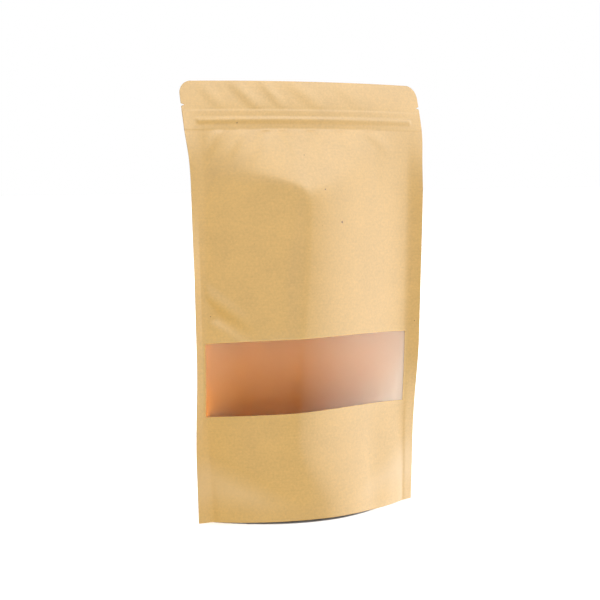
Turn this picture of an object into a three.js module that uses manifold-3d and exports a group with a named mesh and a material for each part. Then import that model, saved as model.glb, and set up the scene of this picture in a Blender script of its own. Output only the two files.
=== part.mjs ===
// A stand-up kraft paper pouch, empty and zipped shut, standing on its opened bottom gusset.
// Millimetres. +Z up, the front with the window faces -Y. The origin is on the floor, under
// the middle of the pouch. Each panel is a height field: a depth in front of (or behind) the
// plane of the two side seals, worked out from the flat size of the paper and how far it bellies.

import * as THREE from 'three';
import { mergeVertices } from 'three/addons/utils/BufferGeometryUtils.js';
import Module from 'manifold-3d';

const { clamp, lerp, smoothstep } = THREE.MathUtils;

// ---------- driving dimensions ----------

// The flat pouch.
const HEIGHT = 260;
const FLAT_WIDTH = 160;
const GUSSET_DEPTH = 40;
const SEAL_WIDTH = 7;
const SEAL_THICK = 1.2;
const LEAST_SEAL = 1;
const CORNER_RADIUS = 8;

// How far each panel stands out from the plane of the seals.
const FOOT_BELLY = 27.5;
const SHOULDER_BELLY = 17;
const SHOULDER_Z = 195;

// The shoulder line, where the slope under the zip turns into the flanks.
const SHOULDER_RISE_LEFT = 21;
const SHOULDER_POWER_LEFT = 0.35;
const SHOULDER_RISE_RIGHT = 48;
const SHOULDER_FLAT_RIGHT = 0.3;
const SHOULDER_RISE_BACK = 24;
const SHOULDER_POWER_BACK = 0.7;
const SHOULDER_ROUNDING = 3;

// The slope under the zip draws the seals in almost as far as the shoulder does.
const SLOPE_FULLNESS = 2;

// Softness of the ridge down the middle, as a share of half the panel: sharp at the shoulder
// and round at the foot. The back has a rounder ridge.
const RIDGE_SHARP = 0.05;
const RIDGE_SOFT = 0.6;
const BACK_RIDGE_SHARP = 0.3;
const RIDGE_FADE = 1.6;

// How gently the panel leaves the side seals, as the same share.
const FILLET_FOOT = 0.05;
const FILLET_LEFT = 0.14;
const FILLET_RIGHT = 0.3;
const FILLET_FULL_Z = 110;
const FILLET_BACK = 0.18;

// The zip, which shows as a raised bead on a slightly raised strip.
const ZIP_Z = 238;
const ZIP_BEAD_HALF = 2.6;
const ZIP_BEAD_HEIGHT = 1.3;
const ZIP_STRIP_LOW = 232;
const ZIP_STRIP_HIGH = 242.5;
const ZIP_STRIP_HEIGHT = 0.3;
const ZIP_EDGE = 0.8;
const ZIP_END = 2.5;

// Half way up the seals lie further to the front than at the foot. From there the pouch
// curls back to the top edge, and the header bows to the front.
const SEAM_SWAY = 4;
const SWAY_START = 35;
const SWAY_END = 100;
const LEAN_BACK = 13;
const LEAN_START = 190;
const BOW = 6;
const BOW_START = 190;

// At the foot the right seal lies further forward and turns back in line with the panel.
const FOOT_FORWARD = 5;
const FLARE = 0.36;
const FLARE_TOP = 110;

// Standing out, the middle of the panel rides higher than the seals, but for the foot.
const LIFT = 2.5;
const LIFT_FULL_Z = 60;
const LIFT_AT_ZIP = 0.8;

// The tear notches, one at each side above the zip.
const NOTCH_Z = 246;
const NOTCH_DEPTH = 2;
const NOTCH_HALF = 0.8;

// The window between the side seals, with its film let in flush.
const WINDOW_LOW = 63.5;
const WINDOW_HIGH = 107;
const WINDOW_SIDE_MARGIN = 0.5;
const FILM_THICK = 0.4;

// The crease that runs down from the pinched left seal to the window.
const CREASE_START = { x: -72, z: 137 };
const CREASE_END = { x: -24, z: 108 };
const CREASE_HEIGHT = 1.1;
const CREASE_ABOVE = 22;
const CREASE_BELOW = 9;
const CREASE_FADE = 8;

// The gusset, folded up between the panels.
const SKIRT_SEAL = 5;
const SKIRT_SEAL_HALF = 0.2;
const SKIRT_CURVE = 0.9;
const SKIRT_WALL = 1.2;
const WEB_THICK = 0.6;
const WEB_HALF_LENGTH = 58;
const FOLD_ROUNDING = 0.12;

const GAP = 0.3;
const BELOW_FLOOR = 3;
const IN_FRONT = 6;

// Vertices nearer than this are one.
const MERGE_DISTANCE = 1e-5;

// How finely the panels are divided.
const COLUMNS = 22;
const FLANK_ROWS = 20;
const SLOPE_ROWS = 7;
const WINDOW_ROWS = 6;
const WEB_ROWS = 6;
const BEAD_ROWS = 6;
const CORNER_STEPS = 4;

// ---------- the shape of the pouch ----------

// Depth of a panel in the middle, from the foot to the shoulder.
function bellyAt(z) {
  return lerp(FOOT_BELLY, SHOULDER_BELLY, z / SHOULDER_Z);
}

// Depth of the middle all the way up to the zip.
function middleDepth(z) {
  const rise = clamp((z - SHOULDER_Z) / (ZIP_STRIP_LOW - SHOULDER_Z), 0, 1);
  return bellyAt(Math.min(z, SHOULDER_Z)) * (1 - rise ** SLOPE_FULLNESS);
}

function bowAt(z) {
  return BOW * smoothstep(z, BOW_START, HEIGHT);
}

// Half the distance between the inner edges of the seals: the paper keeps its length, so the
// more it bellies, the nearer the seals come. An arc is longer than its chord by 8 d2 / 3 c.
function halfPanel(z) {
  const paper = FLAT_WIDTH - 2 * SEAL_WIDTH;
  const slack = (8 / 3) * middleDepth(z) ** 2;
  const chord = (paper + Math.sqrt(paper ** 2 - 4 * slack)) / 2;
  return chord / 2 - (4 / 3) * bowAt(z) ** 2 / FLAT_WIDTH;
}

// Half the outer width: the seals, less the round corners and the tear notches.
function halfOutline(z) {
  const up = clamp(z - (HEIGHT - CORNER_RADIUS), 0, CORNER_RADIUS);
  const corner = CORNER_RADIUS - Math.sqrt(CORNER_RADIUS ** 2 - up ** 2);
  const notch = NOTCH_DEPTH * clamp(1 - Math.abs(z - NOTCH_Z) / NOTCH_HALF, 0, 1);
  return halfPanel(z) + SEAL_WIDTH - corner - notch;
}

// Where the middle plane of the paper lies.
function middleY(x, z) {
  const sway = -SEAM_SWAY * smoothstep(z, SWAY_START, SWAY_END);
  const lean = LEAN_BACK * (Math.max(z - LEAN_START, 0) / (HEIGHT - LEAN_START)) ** 2;
  const across = clamp(x / (halfPanel(z) + SEAL_WIDTH), -1, 1);
  const forward = FOOT_FORWARD * clamp(x / halfPanel(z), 0, 1) ** 4;
  const flare = FLARE * Math.max(x - halfPanel(z), 0);
  const foot = (flare - forward) * (1 - smoothstep(z, 0, FLARE_TOP));
  return sway + lean + foot - bowAt(z) * (1 - across ** 2);
}

// How far a point of the paper is above its height on the flat pouch. The top edge's middle
// is the highest point, so the header's seals are lower instead.
function liftAt(x, z) {
  const u = clamp(x / halfPanel(z), -1, 1);
  const body = LIFT * smoothstep(z, 0, LIFT_FULL_Z);
  const atZip = smoothstep(z, SHOULDER_Z, ZIP_STRIP_LOW);
  const crown = lerp(body, LIFT_AT_ZIP, atZip) * (1 - u ** 2);
  return crown - LIFT_AT_ZIP * atZip;
}

// A V with a rounded bottom, 0 in the middle and 1 at the ends.
function roundedV(u, rounding) {
  const end = Math.hypot(1, rounding) - rounding;
  return (Math.hypot(u, rounding) - rounding) / end;
}

// The section of a panel, 1 in the middle and 0 at the seals.
function section(u, ridge, fillet) {
  return roundedV(1 - roundedV(u, ridge), fillet);
}

function ridgeSoftness(z, sharp) {
  const down = clamp(1 - z / SHOULDER_Z, 0, 1);
  return lerp(sharp, RIDGE_SOFT, down ** RIDGE_FADE);
}

function filletAt(u, z) {
  const full = lerp(FILLET_LEFT, FILLET_RIGHT, (u + 1) / 2);
  return lerp(FILLET_FOOT, full, smoothstep(z, 0, FILLET_FULL_Z));
}

function shoulderFront(u) {
  const left = SHOULDER_RISE_LEFT * Math.abs(Math.min(u, 0)) ** SHOULDER_POWER_LEFT;
  const right = SHOULDER_RISE_RIGHT * Math.max(u - SHOULDER_FLAT_RIGHT, 0);
  return SHOULDER_Z + left + right;
}

function shoulderBack(u) {
  return SHOULDER_Z + SHOULDER_RISE_BACK * Math.abs(u) ** SHOULDER_POWER_BACK;
}

// Under the zip the panel slopes out straight to the shoulder line; below it, it is a flank.
function slopeAndFlank(u, z, shoulderZ, flank) {
  const onLine = flank(u, Math.min(z, shoulderZ));
  const run = ZIP_STRIP_LOW - shoulderZ;
  const slope = flank(u, shoulderZ) * clamp((ZIP_STRIP_LOW - z) / run, 0, 1);
  const below = smoothstep(shoulderZ - z, -SHOULDER_ROUNDING, SHOULDER_ROUNDING);
  return lerp(Math.min(slope, onLine), onLine, below * below);
}

function crease(x, z) {
  const alongX = CREASE_END.x - CREASE_START.x;
  const alongZ = CREASE_END.z - CREASE_START.z;
  const length = Math.hypot(alongX, alongZ);
  const dx = x - CREASE_START.x;
  const dz = z - CREASE_START.z;
  const along = clamp((dx * alongX + dz * alongZ) / length ** 2, 0, 1);
  const above = (alongX * dz - alongZ * dx) / length;
  const reach = above > 0 ? CREASE_ABOVE : CREASE_BELOW;
  const fade = clamp(1 - Math.abs(above) / reach, 0, 1);
  return CREASE_HEIGHT * fade * Math.sin(Math.PI * along);
}

function frontBelly(x, z) {
  const u = clamp(x / halfPanel(z), -1, 1);
  const flank = (s, h) => bellyAt(h) * section(s, ridgeSoftness(h, RIDGE_SHARP), filletAt(s, h));
  const atSeal = u ** CREASE_FADE;
  return slopeAndFlank(u, z, shoulderFront(u), flank) + crease(x, z) * (1 - atSeal);
}

function backBelly(x, z) {
  const u = clamp(x / halfPanel(z), -1, 1);
  const fillet = (h) => lerp(FILLET_FOOT, FILLET_BACK, smoothstep(h, 0, FILLET_FULL_Z));
  const flank = (s, h) => bellyAt(h) * section(s, ridgeSoftness(h, BACK_RIDGE_SHARP), fillet(h));
  return slopeAndFlank(u, z, shoulderBack(u), flank);
}

// The zip's relief, the same on both panels, crushed flat at the side seals.
function zipRelief(x, z) {
  const inside = smoothstep(halfPanel(z) - Math.abs(x), 0, ZIP_END);
  const bead = ZIP_BEAD_HEIGHT * Math.sqrt(clamp(1 - ((z - ZIP_Z) / ZIP_BEAD_HALF) ** 2, 0, 1));
  const low = smoothstep(z, ZIP_STRIP_LOW - ZIP_EDGE, ZIP_STRIP_LOW);
  const high = smoothstep(z, ZIP_STRIP_HIGH, ZIP_STRIP_HIGH + ZIP_EDGE);
  return inside * (bead + ZIP_STRIP_HEIGHT * low * (1 - high));
}

function frontDepth(x, z) {
  return SEAL_THICK / 2 + frontBelly(x, z) + zipRelief(x, z);
}

function backDepth(x, z) {
  return SEAL_THICK / 2 + backBelly(x, z) + zipRelief(x, z);
}

// The line on each panel up to which the gusset is bonded to it.
function bondLine(x) {
  const out = (Math.abs(x) / halfPanel(0) - SKIRT_SEAL_HALF) / (1 - SKIRT_SEAL_HALF);
  return lerp(SKIRT_SEAL, GUSSET_DEPTH, clamp(out, 0, 1) ** SKIRT_CURVE);
}

function hollowHalfDepth(x, z) {
  return frontDepth(x, z) - SKIRT_WALL;
}

// Height of the gusset's fold: the web keeps its length between the bond line and the fold.
function foldLine(x) {
  const bond = bondLine(x);
  const web = GUSSET_DEPTH - bond;
  const out = Math.min(hollowHalfDepth(x, bond), web);
  return bond + Math.sqrt(web ** 2 - out ** 2);
}

// The gusset's roof at a share v of the way from the fold to a panel, and how steep it is.
function roofAt(x, v) {
  return lerp(foldLine(x), bondLine(x), roundedV(v, FOLD_ROUNDING));
}

function roofStretch(x) {
  const drop = foldLine(x) - bondLine(x);
  return Math.hypot(1, drop / hollowHalfDepth(x, bondLine(x)));
}

// ---------- solids from grids ----------

// A closed solid between two grids of points of the same size. The near grid's rows run up
// and its columns run right as seen from outside; the far grid lies behind it.
function solidBetween(near, far) {
  const rows = near.length;
  const columns = near[0].length;
  const last = columns - 1;
  const positions = [...near, ...far].flat(2);
  const nearId = (i, j) => i * columns + j;
  const farId = (i, j) => (rows + i) * columns + j;
  const faces = [];
  const quad = (a, b, c, d) => faces.push(a, b, c, a, c, d);
  for (let i = 0; i + 1 < rows; i += 1) {
    for (let j = 0; j + 1 < columns; j += 1) {
      quad(nearId(i, j), nearId(i, j + 1), nearId(i + 1, j + 1), nearId(i + 1, j));
      quad(farId(i + 1, j), farId(i + 1, j + 1), farId(i, j + 1), farId(i, j));
    }
    quad(farId(i, 0), nearId(i, 0), nearId(i + 1, 0), farId(i + 1, 0));
    quad(nearId(i, last), farId(i, last), farId(i + 1, last), nearId(i + 1, last));
  }
  for (let j = 0; j + 1 < columns; j += 1) {
    quad(farId(0, j), farId(0, j + 1), nearId(0, j + 1), nearId(0, j));
    quad(nearId(rows - 1, j), nearId(rows - 1, j + 1), farId(rows - 1, j + 1), farId(rows - 1, j));
  }
  const geometry = new THREE.BufferGeometry();
  geometry.setAttribute('position', new THREE.Float32BufferAttribute(positions, 3));
  geometry.setIndex(faces);
  return geometry;
}

function steps(from, to, count) {
  return Array.from({ length: count }, (_, k) => lerp(from, to, k / count));
}

const wasm = await Module();
wasm.setup();

function toManifold(geometry) {
  const merged = mergeVertices(geometry, MERGE_DISTANCE);
  return new wasm.Manifold(new wasm.Mesh({
    numProp: 3,
    vertProperties: new Float32Array(merged.attributes.position.array),
    triVerts: new Uint32Array(merged.index.array),
  }));
}

function toGeometry(manifold) {
  const mesh = manifold.getMesh();
  const geometry = new THREE.BufferGeometry();
  geometry.setAttribute('position', new THREE.Float32BufferAttribute(mesh.vertProperties, 3));
  geometry.setIndex(Array.from(mesh.triVerts));
  return geometry;
}

// ---------- the pieces ----------

function heightRows() {
  const cornerLow = HEIGHT - CORNER_RADIUS;
  const corners = steps(0, Math.PI / 2, CORNER_STEPS).map((a) => cornerLow + CORNER_RADIUS * Math.sin(a));
  return [
    ...steps(0, SHOULDER_Z, FLANK_ROWS),
    ...steps(SHOULDER_Z, ZIP_STRIP_LOW - ZIP_EDGE, SLOPE_ROWS),
    ZIP_STRIP_LOW - ZIP_EDGE,
    ZIP_STRIP_LOW,
    ...steps(ZIP_Z - ZIP_BEAD_HALF, ZIP_Z + ZIP_BEAD_HALF, BEAD_ROWS),
    ZIP_Z + ZIP_BEAD_HALF,
    ZIP_STRIP_HIGH,
    ZIP_STRIP_HIGH + ZIP_EDGE,
    NOTCH_Z - NOTCH_HALF,
    NOTCH_Z,
    NOTCH_Z + NOTCH_HALF,
    ...corners,
    HEIGHT,
  ];
}

// Across a row: the outline, the inner edge of the seal, the end of the zip, and the panel.
function columnsAt(z) {
  const half = halfPanel(z);
  const zipEnd = half - ZIP_END;
  const panel = [...steps(-zipEnd, zipEnd, COLUMNS), zipEnd];
  return [-halfOutline(z), -half, ...panel, half, halfOutline(z)];
}

// At the corners the outline is narrower than the panel, so the columns are drawn in to it.
function rowOfPoints(z, yAt) {
  const limit = halfOutline(z);
  const crowd = Math.min(1, limit / (halfPanel(z) + LEAST_SEAL));
  return columnsAt(z).map((x) => {
    const placed = clamp(Math.abs(x) === limit ? x : x * crowd, -limit, limit);
    return [placed, yAt(placed, z), z + liftAt(placed, z)];
  });
}

function pouchBlank() {
  const rows = heightRows();
  const front = rows.map((z) => rowOfPoints(z, (x, h) => middleY(x, h) - frontDepth(x, h)));
  const back = rows.map((z) => rowOfPoints(z, (x, h) => middleY(x, h) + backDepth(x, h)));
  return solidBetween(front, back);
}

// A slab that follows the front panel over the window, from one depth to another behind it.
function windowSlab(inset, from, to) {
  const heights = [
    ...steps(WINDOW_LOW + inset, WINDOW_HIGH - inset, WINDOW_ROWS),
    WINDOW_HIGH - inset,
  ];
  const layer = (behind) => heights.map((z) => {
    const edge = halfPanel(z) - WINDOW_SIDE_MARGIN - inset;
    const xs = [...steps(-edge, edge, COLUMNS), edge];
    return xs.map((x) => [x, middleY(x, z) - frontDepth(x, z) + behind, z + liftAt(x, z)]);
  });
  return solidBetween(layer(from), layer(to));
}

// Columns of points of the gusset, from the back panel's side to the front panel's.
function webGrid(halfLength, halfShare, heightAt, depthAt) {
  const xs = [...steps(-halfLength, halfLength, COLUMNS), halfLength];
  const shares = [...steps(-halfShare, halfShare, WEB_ROWS), halfShare];
  return shares.map((v) => xs.map((x) => [x, v * depthAt(x) + middleY(x, bondLine(x)), heightAt(x, v)]));
}

function gussetHollow() {
  const roof = webGrid(WEB_HALF_LENGTH, 1, roofAt, (x) => hollowHalfDepth(x, bondLine(x)));
  const mouth = webGrid(WEB_HALF_LENGTH, 1, () => -BELOW_FLOOR, (x) => hollowHalfDepth(x, 0));
  return solidBetween(roof, mouth);
}

function gussetWeb() {
  const depth = (x) => hollowHalfDepth(x, bondLine(x)) - GAP - WEB_THICK;
  const under = (gap) => (x, v) => roofAt(x, v) - gap * roofStretch(x);
  const top = webGrid(WEB_HALF_LENGTH - GAP, 1, under(GAP), depth);
  const bottom = webGrid(WEB_HALF_LENGTH - GAP, 1, under(GAP + WEB_THICK), depth);
  return solidBetween(top, bottom);
}

function pouchBody() {
  const recess = windowSlab(0, -IN_FRONT, FILM_THICK + GAP);
  const blank = toManifold(pouchBlank());
  return toGeometry(blank.subtract(toManifold(recess)).subtract(toManifold(gussetHollow())));
}

// ---------- the scene ----------

const kraft = { color: 0xe2b77f, roughness: 0.85, metalness: 0 };
const frosted = { color: 0xc48c60, roughness: 0.45, metalness: 0 };

function piece(name, geometry, material) {
  const flat = geometry.toNonIndexed();
  flat.computeVertexNormals();
  const mesh = new THREE.Mesh(flat, new THREE.MeshStandardMaterial(material));
  mesh.name = name;
  return mesh;
}

const pouch = new THREE.Group();
pouch.add(piece('pouch_body', pouchBody(), kraft));
pouch.add(piece('window_film', windowSlab(GAP, 0, FILM_THICK), frosted));
pouch.add(piece('bottom_gusset', gussetWeb(), kraft));

export default pouch;
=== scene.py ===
"""An empty kraft paper stand-up pouch with a frosted window band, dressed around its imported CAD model.

Each panel is a thin closed sheet. Its form is worked out over the flat pouch: x runs across it, z runs
up it, and the depth says how far the paper bellies out from the plane of the two side seals. Metres.
"""
import math
from functools import partial

import bpy
import numpy as np
from bpy.props import FloatProperty, FloatVectorProperty, PointerProperty
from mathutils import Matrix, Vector


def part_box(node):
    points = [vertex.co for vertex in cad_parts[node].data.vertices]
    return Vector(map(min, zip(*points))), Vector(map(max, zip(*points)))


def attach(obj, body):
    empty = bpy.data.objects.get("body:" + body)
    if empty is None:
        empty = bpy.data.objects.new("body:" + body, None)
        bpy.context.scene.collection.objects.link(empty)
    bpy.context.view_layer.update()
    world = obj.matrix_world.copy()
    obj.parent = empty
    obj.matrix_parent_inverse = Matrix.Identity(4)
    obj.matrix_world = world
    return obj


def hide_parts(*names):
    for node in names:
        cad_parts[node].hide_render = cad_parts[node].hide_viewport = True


bl_info = {
    "name": "Kraft Window Pouch",
    "version": (1, 0, 0),
    "blender": (4, 5, 0),
    "location": "View3D > Sidebar > Pouch",
    "description": "Makes a kraft paper stand-up pouch with a frosted window, and the studio around it",
    "category": "Add Mesh",
}

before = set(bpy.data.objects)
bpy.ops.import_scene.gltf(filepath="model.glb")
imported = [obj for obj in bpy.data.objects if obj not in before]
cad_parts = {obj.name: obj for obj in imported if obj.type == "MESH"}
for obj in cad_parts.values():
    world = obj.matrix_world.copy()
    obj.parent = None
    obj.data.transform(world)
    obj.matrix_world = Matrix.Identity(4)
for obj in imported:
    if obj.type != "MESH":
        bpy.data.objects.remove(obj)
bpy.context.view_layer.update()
BODY_LOW, BODY_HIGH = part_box("pouch_body")
FILM_LOW, FILM_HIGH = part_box("window_film")

MM = 0.001

# ---------- the form that the paper has taken ----------

# How the middle plane lies: half way up the seals are further to the front than at the foot,
# and from there the pouch curls back to the top edge while the header bows to the front.
SEAM_SWAY = 4 * MM
SWAY_START = 35 * MM
SWAY_END = 100 * MM
LEAN_BACK = 13 * MM
LEAN_START = 190 * MM
BOW = 6 * MM
FOOT_FORWARD = 5 * MM
FORWARD_FROM = 0.5
FLARE = 0.36
FLARE_TOP = 110 * MM

# Standing out, the middle of a panel rides higher than the seals, but for the foot.
LIFT = 2.5 * MM
LIFT_FULL_Z = 60 * MM
LIFT_AT_ZIP = 0.8 * MM

# The front's ridge lies to the left of the middle, but for the foot.
RIDGE_ASIDE_MIDDLE = -18 * MM
RIDGE_ASIDE_SHOULDER = -8 * MM
RIDGE_MIDDLE_Z = 50 * MM

# The seals curl forward at their outer edges: the left one from a fold outside the seal's inner edge.
# Each curl sets in over its rise and is gone over its fall.
CURL_LEFT = 1.6 * MM
CURL_LEFT_OUTSIDE = 3 * MM
CURL_LEFT_RISE = (30 * MM, 100 * MM)
CURL_LEFT_FALL = (138 * MM, 200 * MM)
CURL_LEFT_AT_ZIP = 1.6 * MM
CURL_ZIP_Z = 226 * MM
CURL_ZIP_HALF = 24 * MM
CURL_RIGHT = 1.8 * MM
CURL_RIGHT_RISE = (60 * MM, 110 * MM)
CURL_RIGHT_FALL = (190 * MM, 240 * MM)
CURL_INSIDE = 4 * MM
CURL_POWER = 1.5

# At the lower right the panel is pulled flat between the foot's round and the seal. It leaves the seal
# at the seal's own flare and turns to its slope within a few times the facet's foot.
FACET_SLOPE = 0.76
FACET_FOOT = 2.5 * MM
FACET_BLEND = 3 * MM
FACET_FULL_Z = 78 * MM
FACET_TOP = 112 * MM

# The shoulder line, where the slope under the zip turns into the flanks.
SHOULDER_RISE_LEFT = 20 * MM
SHOULDER_POWER_LEFT = 0.4
SHOULDER_RISE_RIGHT = 30 * MM
SHOULDER_RISE_BACK = 20 * MM
SHOULDER_POWER_BACK = 0.7
SHOULDER_BLEND_LEFT = 2.2 * MM
SHOULDER_BLEND_RIGHT = 6 * MM
SHOULDER_BLEND_TURN = (-0.2, 0.4)
BLEND_FULL_DEPTH = 6 * MM
APEX_ROUNDING = 0.08
SLOPE_FULLNESS = 3

# Softness of the ridge down the middle, as a share of half the panel. Towards the foot it gives way to
# a round of the given power, and a lesser fade makes that happen higher up.
RIDGE_SOFT_LEFT = 0.08
RIDGE_SOFT_RIGHT = 0.3
RIDGE_SOFT_BACK = 0.3
ROUND_POWER_LEFT = 2.2
ROUND_POWER_RIGHT = 1.75
RIDGE_FADE_LEFT = 1.2
RIDGE_FADE_RIGHT = 0.8

# Softness of the turn at the seals, as a share of the panel's depth.
FILLET_FOOT = 0.03
FILLET_LEFT = 0.1
FILLET_RIGHT = 0.2
FILLET_FULL_Z = 110 * MM
FILLET_BACK = 0.18

# The zip inside shows as a narrow bead with a slope under it, on a slightly raised strip.
ZIP_BEAD_ABOVE = 2.0 * MM
ZIP_BEAD_BELOW = 3.2 * MM
ZIP_BEAD_HEIGHT = 0.6 * MM
ZIP_STRIP_BELOW = 5.4 * MM
ZIP_STRIP_ABOVE = 5.1 * MM
ZIP_STRIP_HEIGHT = 0.12 * MM
ZIP_EDGE = 0.8 * MM
ZIP_END = 2.5 * MM

# The tear notches above the zip.
NOTCH_ABOVE_ZIP = 8.6 * MM
NOTCH_DEPTH = 2 * MM
NOTCH_HALF = 0.8 * MM

# Soft folds of the front: where each starts and ends, half its width, and its height (a dent's is
# negative). First the dents across the header, then the pleats that fan out under the zip, then the
# crease from the pinched left seal to the window, and the one where the web's bond ends on the skirt.
FOLDS = [
    ((-68 * MM, 259 * MM), (-54 * MM, 243 * MM), 6 * MM, 0.40 * MM),
    ((-50 * MM, 262 * MM), (-31 * MM, 242 * MM), 6 * MM, 0.70 * MM),
    ((-31 * MM, 262 * MM), (-15 * MM, 242 * MM), 5 * MM, 0.45 * MM),
    ((-14 * MM, 262 * MM), (12 * MM, 242 * MM), 7 * MM, 0.40 * MM),
    ((18 * MM, 262 * MM), (40 * MM, 243 * MM), 7 * MM, 0.25 * MM),
    ((-57 * MM, 235 * MM), (-70 * MM, 212 * MM), 4 * MM, 0.55 * MM),
    ((-42 * MM, 235 * MM), (-57 * MM, 212 * MM), 4 * MM, 0.55 * MM),
    ((-26 * MM, 235 * MM), (-44 * MM, 211 * MM), 5 * MM, 0.65 * MM),
    ((-20 * MM, 235 * MM), (-10 * MM, 208 * MM), 4 * MM, 0.50 * MM),
    ((-3 * MM, 235 * MM), (8 * MM, 209 * MM), 5 * MM, 0.50 * MM),
    ((16 * MM, 235 * MM), (30 * MM, 212 * MM), 6 * MM, 0.40 * MM),
    ((34 * MM, 235 * MM), (56 * MM, 216 * MM), 6 * MM, 0.50 * MM),
    ((-86 * MM, 152 * MM), (-43 * MM, 114 * MM), 6 * MM, 1.40 * MM),
    ((-86 * MM, 142 * MM), (-40 * MM, 105 * MM), 6 * MM, -2.20 * MM),
    ((-82 * MM, 40 * MM), (-20 * MM, 4 * MM), 11 * MM, -1.00 * MM),
]
# Below 1, a fold is highest before its middle.
FOLD_EARLY = 0.6
# The power by which the folds fade out at the seals, and the width over which they do so at the zip.
FOLD_FADE = 24
FOLD_EDGE = 2.5 * MM
# A dent takes at most this share of the belly.
DENT_SHARE = 0.75

# The gusset's web is bonded to the skirts up to a line that rises to the seals.
BOND_LOW = 5 * MM
BOND_HALF = 0.2
BOND_CURVE = 0.9
WEB_THICK = 0.15 * MM
WEB_REACH = 0.975
WEB_HEM = 0.4 * MM
WEB_FOLD_ROUNDING = 0.12

# The front skirt's lower edge curls a little clear of the floor, most of all left of the middle.
FOOT_RISE = 1.5 * MM
FOOT_RISE_TOP = 30 * MM
FOOT_RISE_MIDDLE = -0.18
FOOT_RISE_HALF = 0.8

# The paper's rim over the window stands out a little. The slack keeps the cut edge itself in the rim.
RIM_HEIGHT = 0.2 * MM
RIM_WIDTH = 1.4 * MM
RIM_SLACK = 0.01

# The plies are held this far apart where they are sealed.
PLY_GAP = 0.02 * MM

# The film is laminated behind the paper and reaches a little past the cut-out. The ends of both are
# shares of half the panel, and the left ones lie on the seal, which goes from 1 to 2.
WINDOW_LEFT = -1.13
WINDOW_RIGHT = 0.96
FILM_LEFT = -1.4
FILM_RIGHT = 0.997
FILM_THICK = 0.08 * MM
FILM_OVERLAP = 2.5 * MM
CAD_FILM_GAP = 0.3 * MM

# How finely the sheets are divided.
CELL = 1.3 * MM
FINE_CELL = 0.4 * MM
CORNER_STEPS = 10
LEAST_SEAL = 0.4 * MM
COLUMN_STEP = 1 / 56
LEAST_COLUMN_STEP = 0.004
TURN_START = 0.94
TURN_COLUMNS = 9
SEAL_COLUMNS = 7
FILM_SPARE_ROWS = 4
WEB_COLUMNS = 90
WEB_LEG_ROWS = 16
WEB_ROOF_ROWS = 37
PATCH_COLUMNS = 60
SHARP_ANGLE = math.radians(50)

# A painted sheen on the skirts: they are painted paler under a line that rises from a place beside the
# middle to the seals, softly along the line, and not at the hem.
SHEEN_LINE_ACROSS = (14 * MM, 66 * MM)
SHEEN_LINE_TOP = 38 * MM
SHEEN_LINE_SOFT = (-4 * MM, 9 * MM)
SHEEN_FROM_HEM = (6 * MM, 18 * MM)
PAINTED_SHEEN = 0.5

# How the film's haze lies: a little at the left end, then a painted sheen more and more to the right and
# higher up, and a painted highlight in a band at the right end that leans over it. The band's share is
# cubed. The clear film is painted a little darker higher up, a painted shade.
HAZE_LEFT = (-68 * MM, -50 * MM, 0.05, 0.0)
SHEEN_HAZE_RIGHT = (-20 * MM, 60 * MM, 0.0, 0.14)
SHEEN_HAZE_HIGH = (72 * MM, 105 * MM, 0.0, 0.065)
HIGHLIGHT_BAND = (-22 * MM, 23 * MM, 0.0, 0.68)
HIGHLIGHT_BAND_LEAN = 0.5
FILM_PAINTED_SHADE_HIGH = (68 * MM, 86 * MM, 0.0, 1.0)
FILM_PAINTED_SHADE = 0.94


def lerp(a, b, t):
    return a + (b - a) * t


def smoothstep(value, low, high):
    t = np.clip((value - low) / (high - low), 0, 1)
    return t * t * (3 - 2 * t)


def rounded_v(u, rounding):
    """A V with a rounded bottom, 0 in the middle and 1 at the ends."""
    return (np.hypot(u, rounding) - rounding) / (np.hypot(1, rounding) - rounding)


def soft_minimum(a, b, reach):
    """The lesser of two depths, rounded where they are nearer to each other than the reach."""
    near = np.clip(1 - np.abs(a - b) / np.maximum(reach, 1e-9), 0, 1)
    return np.minimum(a, b) - reach * near**3 / 6


def bump_along(value, middle, half):
    """A soft bump, 1 in the middle and 0 at half its width and beyond."""
    t = np.clip(1 - np.abs(value - middle) / half, 0, 1)
    return t * t * (3 - 2 * t)


def fold(x, z, start, end, half, height):
    """A soft ridge along a line from start to end, highest early on and gone at both ends."""
    along_x = end[0] - start[0]
    along_z = end[1] - start[1]
    length = math.hypot(along_x, along_z)
    along = np.clip(((x - start[0]) * along_x + (z - start[1]) * along_z) / length**2, 0, 1)
    beside = ((x - start[0]) * along_z - (z - start[1]) * along_x) / length
    return height * bump_along(beside, 0, half) * np.sin(math.pi * along**FOLD_EARLY)


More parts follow.
